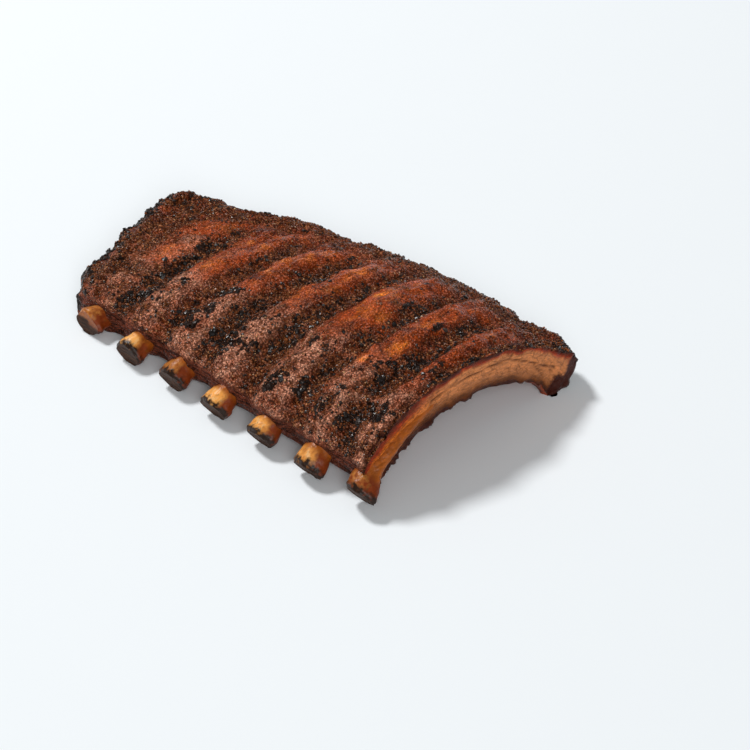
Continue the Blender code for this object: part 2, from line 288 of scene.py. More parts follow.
GRAIN_SPREAD = (-0.1, 0.35)         # of the log of the width
GRAIN_LIMITS = (0.45, 1.9)
GRAIN_STRETCH = (0.7, 1.25)
GRAIN_ROUGHNESS = 0.30
EDGE_LOOSE = 0.3                    # share of grains that hold on below the top's edge
FLAT_LAYER = 0.97

# ---- bones ----
BONE_REACH = 0.35                   # across: where the dressed bone ends inside the meat
BONE_CROWDING = 1.6
TIP_ROUNDING, TIP_ROUND_WIDTH = 0.11, 0.0016
BOXINESS = 0.05
BOX_TURN = 0.9
SLANT_REACH = 0.012
BONE_NOISE, MARROW_NOISE = (0.005, 0.0016), (0.004, 0.001, 0.001)
BONE_FINE_SHARE = 0.4
BONE_SEED, BONE_SEED_STEP = 200, 5
MARROW_DEPTH, MARROW_HEIGHT = 0.0007, 0.00025
# Gold leans to the top and the -X side of a bone: partly its smoked tone, partly painted light, and the other
# side and underside stay red-brown as painted shade.
PAINTED_LIGHT_TURN, GOLD_AND_PAINTED_LIGHT_EDGE, GOLD_FADE = -0.5, (0.1, 1.0), (0.006, 0.011)
COVER_TURN, COVER_EDGE, COVER_FILM = 0.25, (-0.1, 0.4), 0.8
RIM_WIDTH = 0.0048
FILM_START = (0.006, 0.010)

# ---- studio: lights as name, place and width, and the camera ----
LIGHTS = (("key", (-2.50, 0.00, 3.00), 0.8), ("side", (2.80, -2.20, 2.10), 2.4))
LIGHT_TARGET = (0.0, 0.0, 0.02)
FLOOR_HALF = 4.0
CAMERA_TURN, CAMERA_RISE = math.radians(44.04), math.radians(36.56)
CAMERA_DISTANCE = 0.9917
CAMERA_AIM = (0.04429, 0.00564, 0.0)
CAMERA_LENS, CAMERA_SENSOR = 110.4, 36.0

# ---- guards that keep a division from failing, and the hash behind every unevenness ----
TINY = 1e-9
TINY_AREA = 1e-15
HASH_FACTORS = (374761393, 668265263, 2246822519)
HASH_SEED_FACTOR = 40503
HASH_MIXER = 2654435761
HASH_SHIFTS = (15, 13, 16)
HASH_KEPT = 0xFFFF


def linear(hex_colour):
    """An sRGB hex colour as linear red, green and blue."""
    channels = (int(hex_colour[i:i + 2], 16) / 255 for i in (1, 3, 5))
    return tuple(c / 12.92 if c <= 0.04045 else ((c + 0.055) / 1.055) ** 2.4 for c in channels)


def length(name, description, metres):
    """A size that a user may change."""
    return FloatProperty(name=name, description=description, default=metres, min=0.0,
                         precision=5, subtype="DISTANCE", unit="LENGTH")


def colour(name, description, hex_colour):
    """A colour that a user may change."""
    return FloatVectorProperty(name=name, description=description, default=linear(hex_colour),
                               size=3, min=0.0, max=1.0, subtype="COLOR")


def count(name, description, number):
    """A number of loose things that a user may change."""
    return IntProperty(name=name, description=description, default=number, min=0)


class RackSizes(bpy.types.PropertyGroup):
    """Sizes of the crust, the grains and the bones' finish."""

    lump_height: length("Lump height", "How far the meat's surface swells and sinks", 0.0015)
    lump_size: length("Lump size", "Distance from one swelling to the next", 0.0100)
    valley_depth: length("Valley depth", "How far the crust sinks between two ribs", 0.0023)
    fold_height: length("Fold height", "Height of the folds that run along the ribs", 0.0009)
    cobble_height: length("Cobble height", "Height of the small knobs in the crust", 0.00105)
    cobble_size: length("Cobble size", "Width of the small knobs in the crust", 0.0034)
    knob_height: length("Knob height", "Height of the wet knobs near the bone tips", 0.0009)
    knob_size: length("Knob size", "Width of the wet knobs near the bone tips", 0.0044)
    crumb_height: length("Crumb height", "Height of the crust's crumbs", 0.00060)
    crumb_size: length("Crumb size", "Width of the crust's crumbs", 0.0018)
    char_height: length("Char height", "Height of the charred clumps", 0.0014)
    char_size: length("Char size", "Width of the charred clumps", 0.0036)
    pepper_size: length("Pepper size", "Width of a cracked peppercorn bit", 0.0012)
    pepper_count: count("Pepper bits", "Number of cracked peppercorn bits", 620)
    burnt_size: length("Burnt crumb size", "Width of a crumb of burnt sugar", 0.0014)
    burnt_count: count("Burnt crumbs", "Number of crumbs of burnt sugar", 1500)
    rub_size: length("Rub size", "Width of a grain of rub", 0.00075)
    rub_count: count("Rub grains", "Number of grains of rub", 9900)
    speck_size: length("Speck size", "Width of a pale seed or crystal", 0.0005)
    speck_count: count("Pale specks", "Number of pale seeds and crystals", 1800)
    bone_lump: length("Bone unevenness", "How far the bones are from smooth", 0.0007)
    tip_slant: length("Tip slant", "How much shorter a bone is on top than below", 0.0018)


class RackColours(bpy.types.PropertyGroup):
    """Colours of the crust, the cut meat and the bones."""

    bark_dark: colour("Dark bark", "Smoked crust in the hollows", "#501A08")
    bark_red: colour("Red bark", "Smoked crust on the swellings", "#8C380C")
    dust_dark: colour("Dark rub", "Baked-on rub in shade", "#904626")
    # Painted highlight: the pale rub colour goes on the higher parts of the rub as a painted sheen.
    dust_sheen_highlight: colour("Light rub", "Baked-on rub where it is dry", "#C08C72")
    # Painted highlight: this pale colour is mixed onto the crust as painted glints where its painted light is
    # brightest.
    fat: colour("Set fat", "Thin fat on the tops of the crust", "#B4A498")
    grit_dark: colour("Dark grit", "Burnt grit in the valleys", "#2A1308")
    grit_brown: colour("Brown grit", "Brown grit in the valleys", "#602F12")
    grit_pale: colour("Pale grit", "Pale grit in the valleys", "#986038")
    glaze_red: colour("Red glaze", "Tacky glazed crust", "#A8420E")
    glaze_gold: colour("Golden glaze", "Glazed crust where fat shows through", "#F08A26")
    char: colour("Char", "Burnt sugar and pepper", "#20120C")
    side_meat: colour("Side", "Dried side of the meat between the bones", "#6A3524")
    # On a bone, the gold and the red-brown are partly its smoked tones and partly painted light and shade:
    # gold on top and the -X side, red-brown on the rest.
    bone_gold: colour("Bone", "Top of a smoked bone", "#F0A24C")
    bone_red: colour("Bone by the meat", "Smoked bone close to the meat", "#7A3210")
    bone_end: colour("Bone end", "Sawn and smoked end of a bone", "#452A1A")
    meat_tan: colour("Cut meat", "Cut cooked meat", "#D8864E")
    meat_brown: colour("Cut gristle", "Cut meat close to the last bone", "#A8581A")
    smoke_ring: colour("Smoke ring", "Meat just under the crust", "#8A2C0C")


class StageSettings(bpy.types.PropertyGroup):
    """The studio."""

    floor_colour: colour("Floor", "Colour of the studio floor", "#F0F5F8")
    sky: FloatProperty(name="Fill light", description="Brightness of the light from all round",
                       default=0.22, min=0.0)
    key: FloatProperty(name="Key light", description="Power of the main soft light",
                       default=120.0, min=0.0, unit="POWER")
    side: FloatProperty(name="Side light", description="Power of the soft light beside the camera",
                        default=77.0, min=0.0, unit="POWER")


# ---- uneven surfaces ----

def hashed(cells, seed):
    """A number from 0 to 1 for each whole-number cell, always the same one."""
    x, y, z = (cells[..., i].astype(np.int64).astype(np.uint32) for i in range(3))
    first, second, third = (np.uint32(factor) for factor in HASH_FACTORS)
    mixed = x * first + y * second + z * third
    mixed = mixed + np.uint32(seed * HASH_SEED_FACTOR + 1)
    for shift in HASH_SHIFTS:
        mixed = (mixed ^ (mixed >> np.uint32(shift))) * np.uint32(HASH_MIXER)
    return ((mixed >> np.uint32(8)) & np.uint32(HASH_KEPT)) / float(HASH_KEPT)


def noise(points, size, seed):
    """Smooth unevenness from -1 to 1, whose swellings are about one size apart."""
    scaled = points / np.asarray(size)
    cell = np.floor(scaled)
    part = scaled - cell
    part = part ** 3 * (part * (part * 6 - 15) + 10)
    total = 0.0
    for corner in itertools.product((0, 1), repeat=3):
        weight = np.prod(np.where(corner, part, 1 - part), axis=-1)
        total = total + weight * hashed(cell + np.array(corner), seed)
    return total * 2 - 1


def rough_noise(points, size, seed, octaves=3):
    """Unevenness with finer unevenness on it."""
    total, share = 0.0, 1.0
    for octave in range(octaves):
        total = total + share * noise(points, np.asarray(size) / 2 ** octave, seed + octave)
        share *= 0.5
    return total / (2 - 2 * share)


def clumps(points, size, seed):
    """Rounded clumps: 1 in the middle of one, 0 between them, with each one's own number."""
    scaled = points / size
    cell = np.floor(scaled)
    nearest = np.full(points.shape[:-1], 9.0)
    own = np.zeros(points.shape[:-1])
    for offset in itertools.product((-1, 0, 1), repeat=3):
        neighbour = cell + np.array(offset)
        centre = np.stack([hashed(neighbour, seed + i) for i in range(3)], -1)
        distance = np.linalg.norm(neighbour + centre - scaled, axis=-1)
        own = np.where(distance < nearest, hashed(neighbour, seed + 3), own)
        nearest = np.minimum(nearest, distance)
    return np.clip(1 - nearest * nearest, 0, 1), own


def swell(x, width):
    """A smooth bump: 1 at x = 0, 0 from x = width on, either way."""
    t = np.minimum(np.abs(x) / width, 1.0)
    return (1 - t * t) ** 2


def ease(x, low, high):
    """0 below low, 1 above high, and smooth between."""
    t = np.clip((x - low) / (high - low), 0, 1)
    return t * t * (3 - 2 * t)


# ---- the slab's shape, as in the solids ----

def three_point(values, k):
    """The curve through values at k = -1, 0 and 1."""
    first, middle, last = values
    return middle + (last - first) / 2 * k + ((first + last) / 2 - middle) * k * k


class Section:
    """The arch's cross sections at an array of stations."""

    def __init__(self, station):
        past = np.maximum(0, np.abs(station) - LAST_RIB)
        inside = np.clip(station, -LAST_RIB, LAST_RIB)
        left = station < 0
        k = inside / LAST_RIB
        self.start_x = inside * RIB_PITCH
        self.start_x = self.start_x + past * np.where(left, -LEFT_NEAR_MARGIN, RIGHT_NEAR_MARGIN)
        self.lean = three_point(LEAN, k) + past * np.where(left, -LEFT_FLARE, RIGHT_FLARE)
        k = k + past * np.where(left, LEFT_END_SHAPE + 1, RIGHT_END_SHAPE - 1)
        self.span = three_point(SPAN, k)
        self.rise = three_point(RISE, k)
        self.radius = (self.span ** 2 / 4 + self.rise ** 2) / (2 * self.rise)
        self.half_angle = np.arcsin(self.span / 2 / self.radius)
        self.bow = past * np.where(left, LEFT_BOW, RIGHT_BOW)
        self.lift = 0.0
        tip = self.point(-max(OVERHANG) / self.span, BONE_HEIGHT - KNOB_HALF_THICKNESS)
        tip = tip + np.array(CENTRE)
        self.lift = -(tip[..., 2] + TIP_PRESS) / (1 - tip[..., 1] / self.span)

    def point(self, across, height, sideways=0.0):
        """Points in the part's own coordinates."""
        angle = self.half_angle * (2 * across - 1)
        y = self.span / 2 + (self.radius + height) * np.sin(angle)
        z = (self.radius + height) * np.cos(angle) - self.radius + self.rise
        share = y / self.span
        x = self.start_x + self.lean * share + self.bow * 4 * share * (1 - share) + sideways
        return np.stack([x, y, z + self.lift * (1 - share)], -1) - np.array(CENTRE)


def ridge(station, across):
    """1/2 on the crest over a bone, -1/2 in the valley, fading to 0 at the edges."""
    valley = 0.5 - 0.5 * np.cos(2 * np.pi * station)
    past = np.maximum(0, np.abs(station) - LAST_RIB)
    fade = swell(across - RIDGE_MIDDLE, RIDGE_REACH)
    fade = fade * (1 - np.minimum(1, past * RIDGE_END_FADE))
    unevenness = 1 + RIDGE_UNEVENNESS * np.sin(RIDGE_DRIFT[0] * station + RIDGE_DRIFT[1] * across)
    return (0.5 - valley ** VALLEY_NARROWNESS) * fade * unevenness


def distance_from_left_end(station, across):
    """Metres along the rack from its old, uncut end."""
    return (station + LAST_RIB + 1) * (LEFT_NEAR_MARGIN + LEFT_FLARE * across)


def rounded_corner(from_end, from_edge):
    """How far a point moves in from each side when a square corner is made round."""
    x = CORNER_RADIUS - from_end
    y = CORNER_RADIUS - from_edge
    shrink = 1 - np.maximum(x, y) / np.maximum(np.hypot(x, y), TINY)
    shrink = np.where((x > 0) & (y > 0), shrink, 0)
    return x * shrink, y * shrink


def slab_points(station, across, layer):
    """Surface points of the meat as its solid has them."""
    section = Section(station)
    near = across * section.span
    far = (1 - across) * section.span
    from_end = distance_from_left_end(station, across)
    left = station < -LAST_RIB
    top = THICKNESS + RIDGE_HEIGHT * ridge(station, across)
    top = top + FAR_SWELL * swell(1 - across, FAR_SWELL_SHARE)
    top = top - EDGE_ROLL * swell(near, EDGE_ROLL_WIDTH) - FAR_ROLL * swell(far, FAR_ROLL_WIDTH)
    lip = LIP_HEIGHT * swell(from_end - LIP_DISTANCE, LIP_WIDTH)
    top = top + np.where(left, lip - END_ROLL * swell(from_end, END_ROLL_WIDTH), 0)
    under = -UNDER_RIDGE * ridge(station, across) - FOOT_DROP * swell(far, FOOT_WIDTH)
    belly = SIDE_BULGE * np.sin(np.pi * layer)
    scallop = SCALLOP * (0.5 - 0.5 * np.cos(2 * np.pi * station))
    past_middle = np.abs(station) - LAST_RIB - 0.5
    scallop = np.where(past_middle > -0.5, SCALLOP / 2 * swell(past_middle, 0.5), scallop)
    push = belly * (2 * across - 1) ** SIDE_BULGE_POWER
    push = push + scallop * np.maximum(0, 1 - across / SCALLOP_SHARE) ** 2
    over_bone = 0.5 + 0.5 * np.cos(2 * np.pi * station)
    slant = NEAR_SLANT * (0.5 + 0.5 * over_bone) * layer
    push = push + slant * np.maximum(0, 1 - across / NEAR_SLANT_SHARE) ** 2
    skirt = NEAR_SKIRT * (1 - over_bone) * ease(station, *SKIRT_START) * (1 - layer)
    push = push - skirt * np.maximum(0, 1 - across / SCALLOP_SHARE) ** 2
    moved = across + push / section.span
    sideways, inward = rounded_corner(from_end, far)
    end_share = np.maximum(0, -(station + LAST_RIB))
    sideways = np.where(left, sideways - belly * end_share ** END_BULGE_POWER, 0)
    moved = moved - np.where(left, inward / section.span, 0)
    return section.point(moved, under + (top - under) * layer, sideways)


def box_skin(columns, rows, layers, step):
    """The skin of a box of cells, as whole-number vertex places, faces and each face's side.
    Cells of the side at layer 0 are step times as wide, and share the other sides' edges."""
    index = {}

    def at(*place):
        return index.setdefault(place, len(index))

    faces, sides = [], []

    def add(corners, side):
        faces.append([at(*corner) for corner in corners])
        sides.append(side)

    for i in range(columns):
        for j in range(rows):
            add([(i, j, layers), (i + 1, j, layers), (i + 1, j + 1, layers), (i, j + 1, layers)], TOP_SIDE)
        for k in range(layers):
            add([(i, 0, k), (i + 1, 0, k), (i + 1, 0, k + 1), (i, 0, k + 1)], NEAR_SIDE)
            add([(i + 1, rows, k), (i, rows, k), (i, rows, k + 1), (i + 1, rows, k + 1)], FAR_SIDE)
    for j in range(rows):
        for k in range(layers):
            add([(0, j + 1, k), (0, j, k), (0, j, k + 1), (0, j + 1, k + 1)], OLD_SIDE)
            ring = [(columns, j, k), (columns, j + 1, k), (columns, j + 1, k + 1), (columns, j, k + 1)]
            add(ring, CUT_SIDE)
    for i in range(0, columns, step):
        for j in range(0, rows, step):
            ring = [(i, j + n) for n in range(step)] + [(i + n, j + step) for n in range(step)]
            ring += [(i + step, j + step - n) for n in range(step)]
            ring += [(i + step - n, j) for n in range(step)]
            corners = [
                (x, y, 0) for x, y in ring
                if (x % step == 0 and y % step == 0) or x in (0, columns) or y in (0, rows)
            ]
            add(corners, UNDER_SIDE)
    return np.array(list(index)), faces, np.array(sides)


def crowded(share, crowding):
    """Shares from 0 to 1 that crowd toward both ends."""
    return share - crowding * np.sin(2 * np.pi * share) / (2 * np.pi)


def add_masks(mesh, masks):
    """Give the mesh its masks, as attributes that the materials read."""
    for name, values in masks.items():
        mesh.attributes.new(name, "FLOAT", "POINT").data.foreach_set("value", values.astype(np.float32))


def new_piece(name, points, faces, materials, masks=(), angular=False):
    """A mesh object that rides on the rack, with its masks as attributes."""
    mesh = bpy.data.meshes.new(name)
    mesh.from_pydata(points, [], faces)
    for material in materials:
        mesh.materials.append(material)
    add_masks(mesh, dict(masks))
    if not angular:
        mesh.shade_smooth()
    piece = bpy.data.objects.new(name, mesh)
    bpy.context.scene.collection.objects.link(piece)
    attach(piece, "root")
    return piece


def vertex_normals(mesh):
    """Which way the surface faces at each vertex."""
    normals = np.zeros(len(mesh.vertices) * 3, np.float32)
    mesh.vertex_normals.foreach_get("vector", normals)
    return normals.reshape(-1, 3).astype(float)


def mesh_points(mesh):
    """Where each vertex is."""
    points = np.zeros(len(mesh.vertices) * 3, np.float32)
    mesh.vertices.foreach_get("co", points)
    return points.reshape(-1, 3).astype(float)


def patches(station, across, points, places, seed):
    """How strongly each point belongs to the listed patches, with ragged outlines."""
    station = station + PATCH_WANDER[0] * noise(points, PATCH_RAGGEDNESS, seed)
    across = across + PATCH_WANDER[1] * noise(points, PATCH_RAGGEDNESS, seed + 1)
    total = np.zeros(station.shape)
    for middle, height, half_width, half_height, share in places:
        total = np.maximum(total, share * swell(station - middle, half_width * PATCH_FADE)
                           * swell(across - height, half_height * PATCH_FADE))
    return total


def blots(points, share, size, seed, low, high):
    """Ragged blots: the share on a blot, 0 between blots, which are about one size apart."""
    return share * ease(rough_noise(points, size, seed), low, high)


def remaining(share, ends):
    """How much remains where a share is 0, the first end, and where it is 1, the second."""
    return ends[0] + (ends[1] - ends[0]) * share


def valley_share(station, across, points, width):
    """1 along the bottom of a valley between two ribs, 0 on the ribs."""
    wander = sum(share * noise(points, size, seed) for share, size, seed in VALLEY_WANDER)
    total = np.zeros(station.shape)
    for middle, share in VALLEYS:
        total = np.maximum(total, share * swell(station + wander - middle, width))
    near_end, far_end = VALLEY_ENDS
    return total * ease(across, *near_end) * (1 - ease(across, *far_end))


def crust_masks(station, across, layer, points):
    """How glazed, golden, dusty with a painted sheen, gritty, burnt and so on the meat is, from 0 to 1."""
    over_rib = station - np.round(station)
    before_end = -distance_from_left_end(station, across)
    near = 1 - ease(across, *NEAR_STRIP)
    cut_edge = ease(station, *CUT_STRIP)
    valley = valley_share(station, across, points, VALLEY_WIDTH)

    (rib_middle, rib_width), (middle, reach) = SHOULDER
    shoulder = ease(swell(over_rib - rib_middle, rib_width) * swell(across - middle, reach), *SHOULDER_EDGE)
    glaze = shoulder * blots(points, *SHOULDER_GLAZE) * ease(station, *OLD_END_UNGLAZED)
    glaze = np.maximum(glaze, patches(station, across, points, GLAZED, seed=31))
    gold = patches(station, across, points, GLAZED, seed=91) * blots(points, *PATCH_GOLD)
    (rib_middle, rib_width), (middle, reach) = CREST
    wander, size, seed = CREST_WANDER
    crest = swell(over_rib - rib_middle + wander * noise(points, size, seed), rib_width)
    gold = np.maximum(gold, crest * swell(across - middle, reach) * blots(points, *CREST_GOLD))

    dust = near * blots(points, *NEAR_DUST_AND_SHEEN)
    dust = np.maximum(dust, patches(station, across, points, DUST_AND_SHEEN_PATCHES, seed=41))
    grit = np.maximum.reduce([
        valley_share(station, across, points, GRIT_VALLEY_WIDTH),
        FAR_GRIT_SHARE * ease(across, *FAR_GRIT),
        ease(-station, *OLD_STRIP) * blots(points, *OLD_GRIT),
        blots(points, *LOOSE_GRIT),
        cut_edge,
    ])
    grit = grit * blots(points, *GRIT_COVER)

    edges = np.maximum(ease(before_end, *OLD_WALL), FAR_CHAR_SHARE * ease(across, *FAR_CHAR))
    foot = ease(station, *FOOT[0]) * ease(across, *FOOT[1])
    char = np.maximum.reduce([
        valley * blots(points, *VALLEY_CHAR),
        PATCH_CHAR * patches(station, across, points, CHARRED, seed=61),
        near * blots(points, *NEAR_CHAR),
        cut_edge * blots(points, *CUT_CHAR),
        OLD_RIM_CHAR * ease(before_end, *OLD_RIM),
        edges * blots(points, *OLD_CHAR),
        FOOT_CHAR * foot,
    ])
    # Glaze gives way to char, to the valleys and to the cut edge; grit gives way to glaze.
    glaze = glaze * (1 - char) * remaining(valley, GLAZE_BY_VALLEY) * remaining(cut_edge, GLAZE_BY_CUT)
    grit = grit * remaining(glaze, GRIT_BY_GLAZE)
    in_layer, in_across, from_end = SIDE_STRIP
    side = ease(-layer, *in_layer) * ease(-across, *in_across) * ease(-before_end, *from_end)
    return {"glaze": glaze, "gold": gold * glaze, "dust": dust * (1 - grit), "grit": grit,
            "char": char, "valley": valley, "side": side}


def crust_relief(sizes, station, across, layer, points, masks, cut):
    """How far the dressed surface stands out from the solid's, where it is burnt, and the crust's painted
    light and shade: lighter where it stands higher, darker in the hollows.
    """
    glaze, char, grit = masks["glaze"], masks["char"], masks["grit"]
    cobble = rough_noise(points, sizes.cobble_size, seed=5, octaves=2)
    crumb = clumps(points, sizes.crumb_size, seed=9)[0]
    knob = clumps(points, sizes.knob_size, seed=57)[0]
    clump, own = clumps(points, sizes.char_size, seed=13)
    relief = sizes.lump_height * rough_noise(points, sizes.lump_size, seed=1, octaves=2)
    fold_size = sizes.lump_size * np.array(FOLD_SHAPE)
    relief += sizes.fold_height * rough_noise(points, fold_size, seed=7, octaves=2)
    relief -= sizes.valley_depth * masks["valley"]
    relief += sizes.cobble_height * cobble * remaining(glaze, COBBLE_BY_GLAZE)
    relief += (sizes.crumb_height * (crumb - CRUMB_MIDDLE)
               * remaining(grit, CRUMB_BY_GRIT) * remaining(glaze, CRUMB_BY_GLAZE))
    strand = rough_noise(points, *STRAND_NOISE, octaves=2)
    relief += STRAND_HEIGHT * strand * remaining(glaze, STRAND_BY_GLAZE)
    relief += (sizes.knob_height * (knob - KNOB_MIDDLE)
               * remaining(masks["dust"], KNOB_BY_DUST_AND_SHEEN) * remaining(glaze, KNOB_BY_GLAZE))
    relief += sizes.char_height * char * clump * remaining(own, CHAR_BY_CLUMP)
    burnt = ease(char + BURNT_BY_CLUMP * (clump - 0.5) + BURNT_BY_KIND * (own - 0.5), *BURNT_EDGE)

    # Painted light and shade: lighter on higher cobbles, crumbs and knobs and along the near strip, darker in
    # the hollows.
    raised = 0.5 + LIGHT_COBBLE * cobble
    raised += LIGHT_CRUMB * (crumb - CRUMB_MIDDLE) * remaining(glaze, LIGHT_CRUMB_BY_GLAZE)
    raised += LIGHT_NEAR * (1 - ease(across, *NEAR_STRIP))
    raised += LIGHT_KNOB * (knob - LIGHT_KNOB_MIDDLE) * remaining(glaze, LIGHT_KNOB_BY_GLAZE)
    # The painted light is also lighter toward the old end and darker toward the far edge.
    share, at_station, (middle, reach) = LIGHT_OLD
    raised += share * (1 - ease(station, *at_station)) * swell(across - middle, reach)
    share, at_across, at_station = DARK_FAR
    raised -= share * ease(across, *at_across) * ease(station, *at_station)

    top = ease(layer, *TOP)
    under = ease(-layer, *UNDER)
    relief *= np.maximum(top, SIDE_RELIEF * ease(layer, *RIM)) * remaining(cut * (1 - top), RELIEF_BY_CUT)
    (at_station, half_station), (middle, reach), at_layer = OLD_LUMP
    relief += (OLD_LUMP_HEIGHT * swell(station - at_station, half_station) * swell(across - middle, reach)
               * ease(layer, *at_layer))
    foot = ease(station, *FOOT[0]) * ease(across, *FOOT_LUMP[0]) * ease(-layer, *FOOT_LUMP[1])
    relief += FOOT_LUMP_HEIGHT * foot * (clump * remaining(own, FOOT_LUMP_BY_CLUMP) - FOOT_LUMP_MIDDLE)
    fringe = ease(station, *FRINGE_PLACE[0]) * ease(-layer, *FRINGE_PLACE[1])
    relief += FRINGE_HEIGHT * fringe * crumb * blots(points, *FRINGE)
    rise = sum(share * swell(station - middle, reach) for share, middle, reach in FAR_RISE_BUMPS)
    rise = rise - ease(-station, *FAR_DIP)
    relief += FAR_RISE_HEIGHT * ease(across, *FAR_RISE[0]) * ease(layer, *FAR_RISE[1]) * rise
    relief += UNDER_HEIGHT * under * rough_noise(points, *UNDER_NOISE)
    fibres = rough_noise(points, *FIBRE_NOISE, octaves=2)
    relief += FIBRE_HEIGHT * (1 - top) * (1 - under) * fibres * swell(across, FIBRE_REACH)
    return relief, burnt, np.clip(raised, 0, 1)


def seam_depth(across, layer, line, width):
    """1 on a line across the cut face, 0 from a width away."""
    place = np.stack([across, layer], -1) * CUT_FACE
    nearest = np.full(across.shape, 1.0)
    for start, end in itertools.pairwise(np.array(line) * CUT_FACE):
        run = end - start
        share = np.clip((place - start) @ run / (run @ run), 0, 1)
        nearest = np.minimum(nearest, np.linalg.norm(place - start - share[..., None] * run, axis=-1))
    return swell(nearest, width)


# ---- materials ----

def tone(colour_value, share=1.0):
    """A colour as a node takes it, darker where the share is under 1."""
    return (*(channel * share for channel in colour_value), 1)


def add_node(tree, kind, inputs=(), stops=(), **settings):
    """Add a node with its settings, what goes into it and its colour stops.  An input is named,
    or numbered where names repeat.  This gives the node's first live output."""
    node = tree.nodes.new("ShaderNode" + kind)
    for name, value in settings.items():
        setattr(node, name, value)
    for key, value in dict(inputs).items():
        live = (socket for socket in node.inputs if socket.enabled and socket.name == key)
        socket = node.inputs[key] if isinstance(key, int) else next(live)
        if isinstance(value, bpy.types.NodeSocket):
            tree.links.new(value, socket)
        else:
            socket.default_value = value
    for number, (position, stop_colour) in enumerate(stops):
        ramp = node.color_ramp.elements
        stop = ramp[number] if number < 2 else ramp.new(position)
        stop.position, stop.color = position, stop_colour
    return next((socket for socket in node.outputs if socket.enabled), None)


def new_material(name, *masks):
    """A material with an empty tree, a way to add its nodes, the object's coordinates in metres,
    and the piece's masks."""
    material = bpy.data.materials.new(name)
    material.use_nodes = True
    tree = material.node_tree
    tree.nodes.clear()
    add = functools.partial(add_node, tree)
    place = add("TexCoord").node.outputs["Object"]
    shares = (add("Attribute", attribute_name=mask).node.outputs["Fac"] for mask in masks)
    return material, add, place, *shares


def finish_material(add, inputs):
    """Add the shader and the output to a tree."""
    add("OutputMaterial", {"Surface": add("BsdfPrincipled", inputs)})


